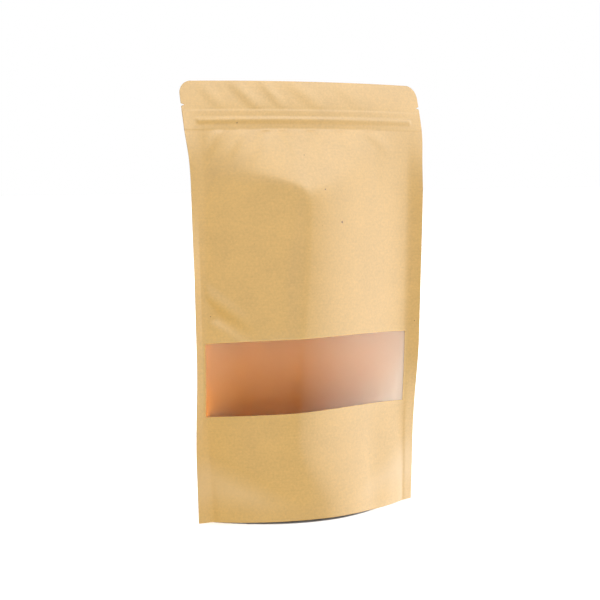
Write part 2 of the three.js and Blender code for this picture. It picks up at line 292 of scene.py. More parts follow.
class Pouch:
    """The pouch's form from the sizes in the panel. Every method takes arrays of x and z."""

    def __init__(self, sizes):
        self.height = sizes.height
        self.width = sizes.flat_width
        self.gusset = sizes.gusset_depth
        self.seal = sizes.seal_width
        self.corner = sizes.corner_radius
        self.paper = sizes.paper_thickness
        self.foot_belly = sizes.foot_belly
        self.shoulder_belly = sizes.shoulder_belly
        self.shoulder = sizes.shoulder_height
        self.zip = sizes.zip_height
        self.window = (sizes.window_low, sizes.window_high)
        self.strip_low = self.zip - ZIP_STRIP_BELOW
        self.strip_high = self.zip + ZIP_STRIP_ABOVE

    def belly(self, z):
        return lerp(self.foot_belly, self.shoulder_belly, z / self.shoulder)

    def middle_depth(self, z):
        rise = np.clip((z - self.shoulder) / (self.strip_low - self.shoulder), 0, 1)
        return self.belly(np.minimum(z, self.shoulder)) * (1 - rise**SLOPE_FULLNESS)

    def bow(self, z):
        return BOW * smoothstep(z, LEAN_START, self.height)

    def half_panel(self, z):
        """Half the width between the seals: the paper keeps its length, so a belly draws them in.
        A shallow arc is longer than its chord by 8/3 of its depth squared, divided by the chord."""
        paper = self.width - 2 * self.seal
        slack = 8 / 3 * self.middle_depth(z) ** 2
        chord = (paper + np.sqrt(paper**2 - 4 * slack)) / 2
        return chord / 2 - 4 / 3 * self.bow(z) ** 2 / self.width

    def half_outline(self, z):
        up = np.clip(z - (self.height - self.corner), 0, self.corner)
        corner = self.corner - np.sqrt(self.corner**2 - up**2)
        notch = NOTCH_DEPTH * np.clip(1 - np.abs(z - self.zip - NOTCH_ABOVE_ZIP) / NOTCH_HALF, 0, 1)
        return self.half_panel(z) + self.seal - corner - notch

    def across(self, share, z):
        """x at a share of the panel's half width, from 1 at the seal's inner edge to 2 at its outer edge."""
        outline = self.half_outline(z)
        panel = np.minimum(self.half_panel(z), outline - LEAST_SEAL)
        past = np.clip(np.abs(share) - 1, 0, 1) * (outline - panel)
        return np.clip(share, -1, 1) * panel + np.sign(share) * past

    def middle_y(self, x, z):
        half = self.half_panel(z)
        sway = -SEAM_SWAY * smoothstep(z, SWAY_START, SWAY_END)
        lean = LEAN_BACK * (np.maximum(z - LEAN_START, 0) / (self.height - LEAN_START)) ** 2
        forward = FOOT_FORWARD * smoothstep(x / half, FORWARD_FROM, 1)
        flare = FLARE * np.maximum(x - half, 0)
        foot = (flare - forward) * (1 - smoothstep(z, 0, FLARE_TOP))
        across = np.clip(x / (half + self.seal), -1, 1)
        return sway + lean + foot - self.bow(z) * (1 - across**2) - self.curl(x, z)

    def curl(self, x, z):
        """How far the outer edges of the seals curl forward."""
        outside = np.abs(x) - self.half_panel(z)
        far = np.clip((outside - CURL_LEFT_OUTSIDE) / (self.seal - CURL_LEFT_OUTSIDE), 0, 1)
        near = np.clip((outside + CURL_INSIDE) / (self.seal + CURL_INSIDE), 0, 1) ** CURL_POWER
        left = CURL_LEFT * smoothstep(z, *CURL_LEFT_RISE) * (1 - smoothstep(z, *CURL_LEFT_FALL))
        at_zip = CURL_LEFT_AT_ZIP * bump_along(z, CURL_ZIP_Z, CURL_ZIP_HALF)
        right = CURL_RIGHT * smoothstep(z, *CURL_RIGHT_RISE) * (1 - smoothstep(z, *CURL_RIGHT_FALL))
        return np.where(x < 0, left * far + at_zip * near, right * near)

    def lift(self, x, z):
        u = np.clip(x / self.half_panel(z), -1, 1)
        at_zip = smoothstep(z, self.shoulder, self.strip_low)
        crown = lerp(LIFT * smoothstep(z, 0, LIFT_FULL_Z), LIFT_AT_ZIP, at_zip) * (1 - u**2)
        return crown - LIFT_AT_ZIP * at_zip

    def flank(self, u, z, ridge_soft, fillet):
        """A ridge high up that gives way to a full round towards the foot."""
        down = np.clip(1 - z / self.shoulder, 0, 1)
        fade = np.where(u < 0, RIDGE_FADE_LEFT, RIDGE_FADE_RIGHT)
        power = np.where(u < 0, ROUND_POWER_LEFT, ROUND_POWER_RIGHT)
        ridge = lerp(rounded_v(u, ridge_soft), np.abs(u) ** power, down**fade)
        return self.belly(z) * rounded_v(1 - ridge, fillet(u, z))

    def front_fillet(self, u, z):
        full = lerp(FILLET_LEFT, FILLET_RIGHT, (u + 1) / 2)
        return lerp(FILLET_FOOT, full, smoothstep(z, 0, FILLET_FULL_Z))

    def back_fillet(self, u, z):
        return lerp(FILLET_FOOT, FILLET_BACK, smoothstep(z, 0, FILLET_FULL_Z))

    def front_share(self, x, z):
        """Where x lies on the front, from -1 at the left seal by 0 on the ridge to 1 at the right seal."""
        half = self.half_panel(z)
        low = RIDGE_ASIDE_MIDDLE * smoothstep(z, 0, RIDGE_MIDDLE_Z)
        ridge = lerp(low, RIDGE_ASIDE_SHOULDER, smoothstep(z, RIDGE_MIDDLE_Z, self.shoulder))
        from_ridge = x - ridge
        return np.clip(from_ridge / np.where(from_ridge < 0, half + ridge, half - ridge), -1, 1)

    def front_shoulder(self, u):
        soft = np.hypot(u, APEX_ROUNDING)
        left = SHOULDER_RISE_LEFT * (soft**SHOULDER_POWER_LEFT - APEX_ROUNDING**SHOULDER_POWER_LEFT)
        right = SHOULDER_RISE_RIGHT * (soft - APEX_ROUNDING)
        return self.shoulder + np.where(u < 0, left, right)

    def back_shoulder(self, u):
        return self.shoulder + SHOULDER_RISE_BACK * np.abs(u) ** SHOULDER_POWER_BACK

    def slope_and_flank(self, u, z, shoulder, ridge_soft, fillet):
        """Under the zip the panel slopes out straight to the shoulder line; below it, it is a flank."""
        soft = np.sign(u) * (np.hypot(u, APEX_ROUNDING) - APEX_ROUNDING) / (1 - APEX_ROUNDING)
        onward = np.clip((self.strip_low - z) / (self.strip_low - shoulder), 0, None)
        slope = self.flank(soft, shoulder, APEX_ROUNDING, fillet) * onward
        flank = self.flank(u, np.minimum(z, shoulder), ridge_soft, fillet)
        reach = lerp(SHOULDER_BLEND_LEFT, SHOULDER_BLEND_RIGHT, smoothstep(u, *SHOULDER_BLEND_TURN))
        return soft_minimum(slope, flank, reach * np.clip(flank / BLEND_FULL_DEPTH, 0, 1))

    def facet(self, x, z, belly):
        """The belly with its lower right pulled flat towards the seal."""
        from_seal = np.maximum(self.half_panel(z) - x, 0)
        at_seal = FLARE * (1 - smoothstep(z, 0, FLARE_TOP))
        turn = np.hypot(from_seal, FACET_FOOT) - FACET_FOOT
        flat = at_seal * from_seal + (FACET_SLOPE - at_seal) * turn
        reach = FACET_BLEND * np.clip(belly / BLEND_FULL_DEPTH, 0, 1)
        return lerp(soft_minimum(belly, flat, reach), belly, smoothstep(z, FACET_FULL_Z, FACET_TOP))

    def zip_relief(self, x, z):
        inside = smoothstep(self.half_panel(z) - np.abs(x), 0, ZIP_END)
        above = 1 - smoothstep(z, self.zip, self.zip + ZIP_BEAD_ABOVE)
        below = smoothstep(z, self.zip - ZIP_BEAD_BELOW, self.zip)
        low = smoothstep(z, self.strip_low - ZIP_EDGE, self.strip_low)
        high = smoothstep(z, self.strip_high, self.strip_high + ZIP_EDGE)
        return inside * ZIP_BEAD_HEIGHT * above * below + ZIP_STRIP_HEIGHT * low * (1 - high)

    def front_folds(self, x, z, u):
        """The soft folds, flat at the seals and under the zip, and the rim over the window."""
        on_panel = 1 - np.abs(u) ** FOLD_FADE
        folds = sum(fold(x, z, *one) for one in FOLDS)
        under_zip = smoothstep(z, self.strip_low - FOLD_EDGE, self.strip_low)
        over_zip = smoothstep(z, self.strip_high, self.strip_high + FOLD_EDGE)
        off_zip = 1 - under_zip * (1 - over_zip)
        above = (z - self.window[1]) / RIM_WIDTH
        rim = RIM_HEIGHT * np.clip(1 - above, 0, 1) * (above > -RIM_SLACK)
        return on_panel * (folds * off_zip + rim)

    def front_depth(self, x, z):
        u = self.front_share(x, z)
        soft = np.where(u < 0, RIDGE_SOFT_LEFT, RIDGE_SOFT_RIGHT)
        belly = self.slope_and_flank(u, z, self.front_shoulder(u), soft, self.front_fillet)
        belly = self.facet(x, z, belly)
        folds = np.maximum(self.front_folds(x, z, u), -DENT_SHARE * belly)
        return belly + folds + self.zip_relief(x, z)

    def back_depth(self, x, z):
        u = np.clip(x / self.half_panel(z), -1, 1)
        belly = self.slope_and_flank(u, z, self.back_shoulder(u), RIDGE_SOFT_BACK, self.back_fillet)
        return belly + self.zip_relief(x, z)

    def film_room(self, z):
        """How much further apart the plies are at the window, where the film lies between them."""
        low, high = self.window
        below = smoothstep(z, low - FILM_OVERLAP - CELL, low - FILM_OVERLAP)
        above = smoothstep(z, high + FILM_OVERLAP, high + FILM_OVERLAP + CELL)
        return (FILM_THICK + PLY_GAP) * (below - above)

    def front_y(self, x, z, behind=0.0):
        """y of the front panel's outer face, or of a layer that lies behind it."""
        paper = self.paper + self.film_room(z)
        return self.middle_y(x, z) - PLY_GAP / 2 - paper - self.front_depth(x, z) + behind

    def back_y(self, x, z, behind=0.0):
        return self.middle_y(x, z) + PLY_GAP / 2 + self.paper + self.back_depth(x, z) - behind

    def foot_rise(self, x, z):
        u = np.clip(x / self.half_panel(z), -1, 1)
        arch = np.clip(1 - ((u - FOOT_RISE_MIDDLE) / FOOT_RISE_HALF) ** 2, 0, 1)
        return FOOT_RISE * arch * (1 - smoothstep(z, 0, FOOT_RISE_TOP))

    def bond_line(self, u):
        """Height up to which the web is bonded to a skirt."""
        out = np.clip((np.abs(u) - BOND_HALF) / (1 - BOND_HALF), 0, 1)
        return lerp(BOND_LOW, self.gusset, out**BOND_CURVE)

    def rows(self):
        edge = self.zip + NOTCH_ABOVE_ZIP
        corner = self.corner * np.sin(np.linspace(0, math.pi / 2, CORNER_STEPS))
        parts = [
            np.arange(0, self.height, CELL),
            np.arange(self.strip_low - 2 * ZIP_EDGE, self.strip_high + 2 * ZIP_EDGE, FINE_CELL),
            [edge - NOTCH_HALF, edge, edge + NOTCH_HALF],
            self.height - self.corner + corner,
            [self.window[1] + RIM_WIDTH],
        ]
        return spaced(np.concatenate(parts), self.window, FINE_CELL / 2)


def spaced(values, kept, least):
    """The values in order, without any that crowd another or one that is kept."""
    result = list(kept)
    for value in values:
        if min(abs(value - other) for other in result) > least:
            result.append(float(value))
    return np.array(sorted(result))


def panel_columns():
    """Shares of half the panel across the front, finer at the seals, with the window's ends among them."""
    middle = np.arange(-1, 1 + COLUMN_STEP / 2, COLUMN_STEP)
    turn = np.linspace(TURN_START, 1.0, TURN_COLUMNS)
    seal = np.linspace(1, 2, SEAL_COLUMNS)
    values = np.concatenate([middle, turn, -turn, seal, -seal])
    kept = [-2, FILM_LEFT, WINDOW_LEFT, -1, WINDOW_RIGHT, FILM_RIGHT, 2]
    return spaced(values, kept, LEAST_COLUMN_STEP)


# ---------- sheets ----------

OUTSIDE, INSIDE, CUT_EDGE = 0, 1, 2


def sheet_mesh(name, near, far, kept=None):
    """A closed sheet between two grids of points, as seen from outside with columns to the right and
    rows up. Cells that aren't kept are left out, with a wall round the opening."""
    rows, columns = near.shape[:2]
    count = rows * columns
    if kept is None:
        kept = np.ones((rows - 1, columns - 1), bool)
    index = np.arange(count).reshape(rows, columns)
    corners = [index[:-1, :-1], index[:-1, 1:], index[1:, 1:], index[1:, :-1]]
    outside = np.stack(corners, -1)[kept]
    inside = np.stack(corners[::-1], -1)[kept] + count
    around = np.pad(kept, 1)
    beyond = [around[:-2, 1:-1], around[1:-1, 2:], around[2:, 1:-1], around[1:-1, :-2]]
    walls = []
    for side, next_cell in enumerate(beyond):
        rim = kept & ~next_cell
        start = corners[side][rim]
        end = corners[(side + 1) % 4][rim]
        walls.append(np.stack([end, start, start + count, end + count], -1))
    walls = np.concatenate(walls)
    faces = np.concatenate([outside, inside, walls])
    points = np.concatenate([near.reshape(-1, 3), far.reshape(-1, 3)])
    used, faces = np.unique(faces, return_inverse=True)
    mesh = bpy.data.meshes.new(name)
    mesh.from_pydata(points[used].tolist(), [], faces.reshape(-1, 4).tolist())
    finish = np.repeat([OUTSIDE, INSIDE, CUT_EDGE], [len(outside), len(inside), len(walls)])
    mesh.polygons.foreach_set("material_index", finish.astype(np.int32))
    mesh.shade_smooth()
    mesh.set_sharp_from_angle(angle=SHARP_ANGLE)
    mesh.validate()
    return mesh


def add_piece(name, mesh, finishes, node):
    """A piece that stands for a CAD node and rides on the one body."""
    piece = bpy.data.objects.new(name, mesh)
    bpy.context.scene.collection.objects.link(piece)
    for finish in finishes:
        mesh.materials.append(finish)
    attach(piece, "root")
    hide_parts(node)


def panel_grid(pouch, shares, heights, y_at, rise=None):
    share, z = np.meshgrid(shares, heights)
    x = pouch.across(share, z)
    up = z + pouch.lift(x, z)
    if rise is not None:
        up = up + rise(x, z)
    return np.stack([x, y_at(x, z), up], -1)


# ---------- finishes ----------


class Value:
    """A socket that takes part in sums: each sum adds its Math node."""

    def __init__(self, finish, socket):
        self.finish = finish
        self.socket = socket

    def maths(self, operation, first, second):
        return self.finish.node("ShaderNodeMath", {"operation": operation}, {0: first, 1: second})

    def __add__(self, other):
        return self.maths("ADD", self, other)

    def __radd__(self, other):
        return self.maths("ADD", other, self)

    def __sub__(self, other):
        return self.maths("SUBTRACT", self, other)

    def __rsub__(self, other):
        return self.maths("SUBTRACT", other, self)

    def __mul__(self, other):
        return self.maths("MULTIPLY", self, other)

    def __rmul__(self, other):
        return self.maths("MULTIPLY", other, self)


class Finish:
    """A material whose nodes are added one at a time."""

    def __init__(self, name):
        self.material = bpy.data.materials.new(name)
        self.material.use_nodes = True
        self.tree = self.material.node_tree
        self.tree.nodes.clear()

    def node(self, kind, settings=None, sockets=None, out=0):
        """Adds a node: its settings first, then its sockets' values or links. Returns one output."""
        node = self.tree.nodes.new(kind)
        for key, setting in (settings or {}).items():
            if key == "stops":
                self.set_stops(node.color_ramp, setting)
            else:
                setattr(node, key, setting)
        for key, value in (sockets or {}).items():
            socket = self.find(node.inputs, key)
            if isinstance(value, Value):
                self.tree.links.new(value.socket, socket)
            else:
                socket.default_value = value
        if not node.outputs:
            return None
        return Value(self, self.find(node.outputs, out))

    @staticmethod
    def find(sockets, key):
        if isinstance(key, int):
            return sockets[key]
        return next(s for s in sockets if s.enabled and s.name == key)

    @staticmethod
    def set_stops(ramp, stops):
        while len(ramp.elements) < len(stops):
            ramp.elements.new(0.5)
        for element, (position, grey) in zip(ramp.elements, stops):
            element.position = position
            element.color = (grey, grey, grey, 1)

    def mix(self, factor, first, second):
        settings = {"data_type": "RGBA"}
        return self.node("ShaderNodeMix", settings, {"Factor": factor, "A": first, "B": second}, "Result")

    def noise(self, place, scale, detail=2.0, stretch=None):
        if stretch is not None:
            place = self.node("ShaderNodeVectorMath", {"operation": "MULTIPLY"}, {0: place, 1: stretch})
        sockets = {"Vector": place, "Scale": scale, "Detail": detail}
        return self.node("ShaderNodeTexNoise", None, sockets, "Fac")

    def span(self, value, low, high, at_low, at_high):
        """Goes evenly from one level to the other between two values, and stays level beyond them."""
        sockets = {"Value": value, "From Min": low, "From Max": high, "To Min": at_low, "To Max": at_high}
        return self.node("ShaderNodeMapRange", None, sockets, "Result")

    def ramp(self, value, stops):
        return self.node("ShaderNodeValToRGB", {"stops": stops}, {0: value}, "Color")

    def finish(self, shader):
        self.node("ShaderNodeOutputMaterial", None, {"Surface": shader})
        return self.material


def shade(colour, factor):
    """A colour made lighter or darker, with its alpha."""
    return (colour[0] * factor, colour[1] * factor, colour[2] * factor, 1.0)


def painted_sheen_zone(paper, place):
    """A painted sheen: the skirts are painted a little paler under a line up to each seal."""
    across = paper.node("ShaderNodeSeparateXYZ", None, {"Vector": place}, "X")
    height = paper.node("ShaderNodeSeparateXYZ", None, {"Vector": place}, "Z")
    aside = paper.node("ShaderNodeMath", {"operation": "ABSOLUTE"}, {0: across})
    line = paper.span(aside, *SHEEN_LINE_ACROSS, BOND_LOW, SHEEN_LINE_TOP)
    under = paper.span(line - height, *SHEEN_LINE_SOFT, 0.0, 1.0)
    return under * paper.span(height, *SHEEN_FROM_HEM, 0.0, PAINTED_SHEEN)


def kraft_paper(colours):
    """Natural kraft: fine fibres across, cloudy patches, fine grain and a few dark flecks. The numbers
    given to the noises are how many patches there are to a metre."""
    paper = Finish("Kraft paper")
    place = paper.node("ShaderNodeTexCoord", out="Object")
    clouds = paper.noise(place, 55.0, 3.0)
    grain = paper.noise(place, 750.0, 3.0)
    fibres = paper.noise(place, 100.0, 3.0, stretch=(1.0, 1.0, 14.0))
    tone = clouds * 0.32 + grain * 0.50 + fibres * 0.18
    tone = paper.ramp(tone, [(0.34, 0.0), (0.66, 1.0)])
    colour = paper.mix(tone, shade(colours.kraft, 0.90), shade(colours.kraft, 1.10))
    flecks = paper.ramp(paper.noise(place, 330.0, 1.0), [(0.17, 1.0), (0.20, 0.0)])
    # The skirts are painted paler under the bond line: a painted sheen.
    colour = paper.mix(painted_sheen_zone(paper, place), colour, shade(colours.bonded, 1.0))
    colour = paper.mix(flecks, colour, shade(colours.fleck, 1.0))
    relief = grain * 0.6 + fibres * 0.4
    bump = {"Strength": 0.25, "Distance": 0.00012, "Height": relief}
    normal = paper.node("ShaderNodeBump", None, bump, "Normal")
    sockets = {
        "Base Color": colour,
        "Roughness": 0.45,
        "IOR": 1.5,
        "Specular IOR Level": 0.5,
        "Normal": normal,
    }
    return paper.finish(paper.node("ShaderNodeBsdfPrincipled", None, sockets, "BSDF"))


def kraft_lining(colours):
    """The inside of the kraft, under a clear sealing layer."""
    lining = Finish("Kraft lining")
    place = lining.node("ShaderNodeTexCoord", out="Object")
    clouds = lining.noise(place, 60.0, 3.0)
    colour = lining.mix(clouds, shade(colours.lining, 0.94), shade(colours.lining, 1.05))
    sockets = {"Base Color": colour, "Roughness": 0.5, "Specular IOR Level": 0.2}
    return lining.finish(lining.node("ShaderNodeBsdfPrincipled", None, sockets, "BSDF"))


def cut_edge(colours):
    """Where the paper is cut its bare fibres are paler."""
    edge = Finish("Cut kraft edge")
    place = edge.node("ShaderNodeTexCoord", out="Object")
    fibres = edge.noise(place, 2500.0, 2.0)
    colour = edge.mix(fibres, shade(colours.edge, 0.85), shade(colours.edge, 1.1))
    sockets = {"Base Color": colour, "Roughness": 0.9, "Specular IOR Level": 0.2}
    return edge.finish(edge.node("ShaderNodeBsdfPrincipled", None, sockets, "BSDF"))


def frosted_film(colours):
    """Matte film that blurs what is behind it. Its frost is a little denser at the left end; as a painted
    sheen and highlight it is made denser higher up and towards its right end, and as a painted shade the
    clear film is darker higher up.
    """
    film = Finish("Frosted film")
    place = film.node("ShaderNodeTexCoord", out="Object")
    across = film.node("ShaderNodeSeparateXYZ", None, {"Vector": place}, "X")
    height = film.node("ShaderNodeSeparateXYZ", None, {"Vector": place}, "Z")
    # The clear film is painted darker higher up: a painted shade.
    darker = film.span(height, *FILM_PAINTED_SHADE_HIGH)
    colour = film.mix(darker, shade(colours.film, 1.0), shade(colours.film, FILM_PAINTED_SHADE))
    satin = {"Roughness": 0.42, "IOR": 1.25}
    sockets = {"Base Color": colour, "Transmission Weight": 1.0, **satin}
    clear = film.node("ShaderNodeBsdfPrincipled", None, sockets, "BSDF")
    sockets = {"Base Color": shade(colours.frost, 1.0), **satin}
    frost = film.node("ShaderNodeBsdfPrincipled", None, sockets, "BSDF")
    # Painted highlight and sheen: the frost is made denser in a leaning band at the right end, more and more
    # to the right, and higher up; a little at the left end too.
    band = film.span(across - height * HIGHLIGHT_BAND_LEAN, *HIGHLIGHT_BAND)
    haze_and_painted_sheen = film.span(across, *HAZE_LEFT) + film.span(across, *SHEEN_HAZE_RIGHT)
    haze_and_painted_sheen = haze_and_painted_sheen + band * band * band + film.span(height, *SHEEN_HAZE_HIGH)
    return film.finish(film.node("ShaderNodeMixShader", None, {0: haze_and_painted_sheen, 1: clear, 2: frost}, "Shader"))


def floor_paint(colours):
    floor = Finish("Studio floor")
    place = floor.node("ShaderNodeTexCoord", out="Object")
    mottle = floor.noise(place, 3.0, 1.0)
    colour = floor.mix(mottle, shade(colours.floor, 0.995), shade(colours.floor, 1.0))
    sockets = {"Base Color": colour, "Roughness": 0.9, "Specular IOR Level": 0.0}
    return floor.finish(floor.node("ShaderNodeBsdfPrincipled", None, sockets, "BSDF"))


FINISHES = {
    "kraft_paper": kraft_paper,
    "kraft_lining": kraft_lining,
    "cut_edge": cut_edge,
    "frosted_film": frosted_film,
    "floor_paint": floor_paint,
}
made_finishes = {}


def finish_for(context, name):
    """Each finish is made once and shared by its pieces."""
    if name not in made_finishes:
        made_finishes[name] = FINISHES[name](context.scene.pouch_colours)
    return made_finishes[name]


def paper_finishes(context):
    return [finish_for(context, name) for name in ("kraft_paper", "kraft_lining", "cut_edge")]


# ---------- the sizes and colours that a user can change ----------


def length(name, description, default):
    return FloatProperty(name=name, description=description, default=default, unit="LENGTH", precision=4)


def tint(name, description, default):
    return FloatVectorProperty(
        name=name, description=description, default=default, subtype="COLOR", size=3, min=0.0, max=1.0
    )


def brightness(name, description, default):
    return FloatProperty(name=name, description=description, default=default)


class PouchSizes(bpy.types.PropertyGroup):
    height: length("Height", "From the floor to the top edge", BODY_HIGH.z - BODY_LOW.z)
    flat_width: length("Flat width", "Width of the pouch lying flat, with its seals", 160 * MM)
    gusset_depth: length("Gusset depth", "Height of the folded gusset on the flat pouch", 40 * MM)
    seal_width: length("Seal width", "Width of each side seal", 7 * MM)
    corner_radius: length("Corner radius", "Radius of the two top corners", 8 * MM)
    paper_thickness: length("Paper thickness", "Thickness of the laminated kraft", 0.25 * MM)
    foot_belly: length("Foot belly", "How far a panel stands out at the foot", 27.5 * MM)
    shoulder_belly: length("Shoulder belly", "How far a panel stands out at the shoulder", 17 * MM)
    shoulder_height: length("Shoulder height", "Where the slope under the zip begins", 192 * MM)
    zip_height: length("Zip height", "Height of the zip's bead", 237.4 * MM)
    window_low: length("Window low", "Lower edge of the window", FILM_LOW.z - CAD_FILM_GAP)
    window_high: length("Window high", "Upper edge of the window", FILM_HIGH.z + CAD_FILM_GAP - LIFT)


class PouchColours(bpy.types.PropertyGroup):
    kraft: tint("Kraft", "The paper's outside", (0.640, 0.385, 0.105))
    fleck: tint("Fleck", "Dark fibres in the paper", (0.20, 0.10, 0.03))
    # The colour of the painted sheen low on the skirts, where the gusset is bonded.
    bonded: tint("Painted sheen", "Paler paint low on the skirts, a painted sheen", (0.72, 0.48, 0.21))
    lining: tint("Lining", "The paper's inside, under its sealing layer", (0.74, 0.31, 0.02))
    edge: tint("Cut edge", "Bare fibres where the paper is cut", (0.70, 0.50, 0.25))
    film: tint("Film", "The frosted window film", (1.0, 0.87, 0.66))
    frost: tint("Frost", "The haze in the film", (0.93, 0.82, 0.70))
    floor: tint("Floor", "The studio floor", (0.95, 0.95, 0.95))


class StudioLight(bpy.types.PropertyGroup):
    tent: brightness("Tent", "Brightness of the white all round", 0.58)
    key: brightness("Key", "Brightness of the two soft lights, in front and behind", 2.6)
    floor_sun: brightness("Floor light", "Brightness of the light on the floor alone", 3.2)
    side_card: brightness("Side card", "Brightness of the card at the right", 5.6)
    front_card: brightness("Front card", "Brightness of the cards in front and behind", 2.5)
    top_card: brightness("Top card", "Brightness of the card above", 6.0)
    left_card: brightness("Left card", "Brightness of the card at the left", 1.2)


# ---------- the pieces ----------


class POUCH_OT_front_panel(bpy.types.Operator):
    """Make the front panel, with the cut-out for the window"""

    bl_idname = "pouch.front_panel"
    bl_label = "Front Panel"

    def execute(self, context):
        pouch = Pouch(context.scene.pouch_sizes)
        shares = panel_columns()
        heights = pouch.rows()
        near = panel_grid(pouch, shares, heights, pouch.front_y, pouch.foot_rise)
        inner = partial(pouch.front_y, behind=pouch.paper)
        far = panel_grid(pouch, shares, heights, inner, pouch.foot_rise)
        middle_share = (shares[1:] + shares[:-1]) / 2
        middle_z = (heights[1:] + heights[:-1]) / 2
        in_band = (middle_z > pouch.window[0]) & (middle_z < pouch.window[1])
        between = (middle_share > WINDOW_LEFT) & (middle_share < WINDOW_RIGHT)
        window = in_band[:, None] & between[None, :]
        mesh = sheet_mesh("paper_front", near, far, ~window)
        add_piece("paper_front", mesh, paper_finishes(context), "pouch_body")
        return {"FINISHED"}


class POUCH_OT_back_panel(bpy.types.Operator):
    """Make the back panel"""

    bl_idname = "pouch.back_panel"
    bl_label = "Back Panel"

    def execute(self, context):
        pouch = Pouch(context.scene.pouch_sizes)
        shares = panel_columns()[::-1]
        heights = pouch.rows()
        near = panel_grid(pouch, shares, heights, pouch.back_y)
        far = panel_grid(pouch, shares, heights, partial(pouch.back_y, behind=pouch.paper))
        mesh = sheet_mesh("paper_back", near, far)
        add_piece("paper_back", mesh, paper_finishes(context), "pouch_body")
        return {"FINISHED"}


class POUCH_OT_window_film(bpy.types.Operator):
    """Make the frosted film behind the window"""

    bl_idname = "pouch.window_film"
    bl_label = "Window Film"

    def execute(self, context):
        pouch = Pouch(context.scene.pouch_sizes)
        low, high = pouch.window
        columns = panel_columns()
        shares = columns[(columns >= FILM_LEFT) & (columns <= FILM_RIGHT)]
        count = round((high - low) / CELL) + FILM_SPARE_ROWS
        heights = np.linspace(low - FILM_OVERLAP, high + FILM_OVERLAP, count)
        front = pouch.paper + PLY_GAP
        near = panel_grid(pouch, shares, heights, partial(pouch.front_y, behind=front))
        far = panel_grid(pouch, shares, heights, partial(pouch.front_y, behind=front + FILM_THICK))
        mesh = sheet_mesh("frosted_window", near, far)
        film = finish_for(context, "frosted_film")
        add_piece("frosted_window", mesh, [film, film, film], "window_film")
        return {"FINISHED"}


class POUCH_OT_gusset(bpy.types.Operator):
    """Make the gusset's web, bonded to both skirts and folded up between them"""

    bl_idname = "pouch.gusset"
    bl_label = "Bottom Gusset"

    def execute(self, context):
        pouch = Pouch(context.scene.pouch_sizes)
        near = self.web_grid(pouch)
        across = np.gradient(near, axis=1)
        along = np.gradient(near, axis=0)
        normal = np.cross(across, along)
        normal /= np.linalg.norm(normal, axis=-1, keepdims=True)
        mesh = sheet_mesh("gusset_web", near, near - normal * WEB_THICK)
        outside, lining, edge = paper_finishes(context)
        add_piece("gusset_web", mesh, [lining, outside, edge], "bottom_gusset")
        return {"FINISHED"}

    def web_grid(self, pouch):
        """From the front skirt's hem up to the bond line, over the fold and down to the back's hem."""
        u = np.linspace(-WEB_REACH, WEB_REACH, WEB_COLUMNS)
        bond = pouch.bond_line(u)
        x = u * pouch.half_panel(bond)
        behind = pouch.paper + PLY_GAP
        front = pouch.front_y(x, bond, behind)
        back = pouch.back_y(x, bond, behind)
        web = pouch.gusset - bond
        reach = np.minimum((back - front) / 2, web)
        fold_z = bond + np.sqrt(web**2 - reach**2)
        rows = []
        for share in np.linspace(0, 1, WEB_LEG_ROWS):
            z = lerp(WEB_HEM, bond, share)
            at = u * pouch.half_panel(z)
            rows.append((at, pouch.front_y(at, z, behind), z + pouch.lift(at, z) + pouch.foot_rise(at, z)))
        for v in np.linspace(-1, 1, WEB_ROOF_ROWS)[1:-1]:
            y = lerp((front + back) / 2, np.where(v < 0, front, back), abs(v))
            z = lerp(fold_z, bond, rounded_v(v, WEB_FOLD_ROUNDING))
            rows.append((x, y, z + pouch.lift(x, bond)))
        for share in np.linspace(1, 0, WEB_LEG_ROWS):
            z = lerp(WEB_HEM, bond, share)
            at = u * pouch.half_panel(z)
            rows.append((at, pouch.back_y(at, z, behind), z + pouch.lift(at, z)))
        return np.array([np.stack(row, -1) for row in rows])


# ---------- the studio ----------

FLOOR_SIDE = 12.0
FLOOR_LIGHT_ANGLE = math.radians(40)
PATCH_HEIGHT = 0.02 * MM

# The camera looks down a little from the left of the front. It stands in metres, and its lens is in mm.
CAMERA_AZIMUTH = math.radians(-27.125)
CAMERA_PITCH = math.radians(5.981)
CAMERA_DISTANCE = 0.8496
CAMERA_HEIGHT = 0.2183
CAMERA_ASIDE = -0.00477
CAMERA_LENS = 84.88

# The cards: where each stands on the compass round the pouch, how high in degrees, its width and
# height, and the setting that holds its brightness. The gloss shows the first ones, and the paper's
# and the film's own colour shows the others.
CARD_DISTANCE = 2.0
GLOSS_CARDS = {
    "Side card": (88, 0, 2.8, 4.0, "side_card"),
    "Front card": (40, 0, 0.9, 4.0, "front_card"),
    "Top card": (10, 50, 2.6, 1.6, "top_card"),
    "Rear card": (205, 20, 2.0, 2.0, "front_card"),
    "Left card": (-52, 0, 1.0, 4.0, "left_card"),
}
COLOUR_CARDS = {
    "Key": (-18, -2, 1.6, 1.6, "key"),
    "Back light": (165, 5, 1.6, 1.6, "key"),
}


def from_compass(azimuth, elevation, distance):
    """A place round the pouch: azimuth 0 is in front of it, and positive is to its right."""
    a = math.radians(azimuth)
    e = math.radians(elevation)
    return Vector((math.sin(a) * math.cos(e), -math.cos(a) * math.cos(e), math.sin(e))) * distance


def add_card(name, azimuth, elevation, width, height, brightness, for_gloss):
    """A white card that only the gloss of the paper and the film shows, or only their own colour."""
    light = bpy.data.lights.new(name, "AREA")
    light.shape = "RECTANGLE"
    light.size = width
    light.size_y = height
    light.energy = brightness * math.pi * width * height
    card = bpy.data.objects.new(name, light)
    bpy.context.scene.collection.objects.link(card)
    middle = Vector((0, 0, BODY_HIGH.z / 2))
    card.location = middle + from_compass(azimuth, elevation, CARD_DISTANCE)
    card.rotation_euler = (middle - card.location).to_track_quat("-Z", "Y").to_euler()
    card.visible_diffuse = not for_gloss
    card.visible_transmission = not for_gloss
    card.visible_glossy = for_gloss
    card.visible_camera = False


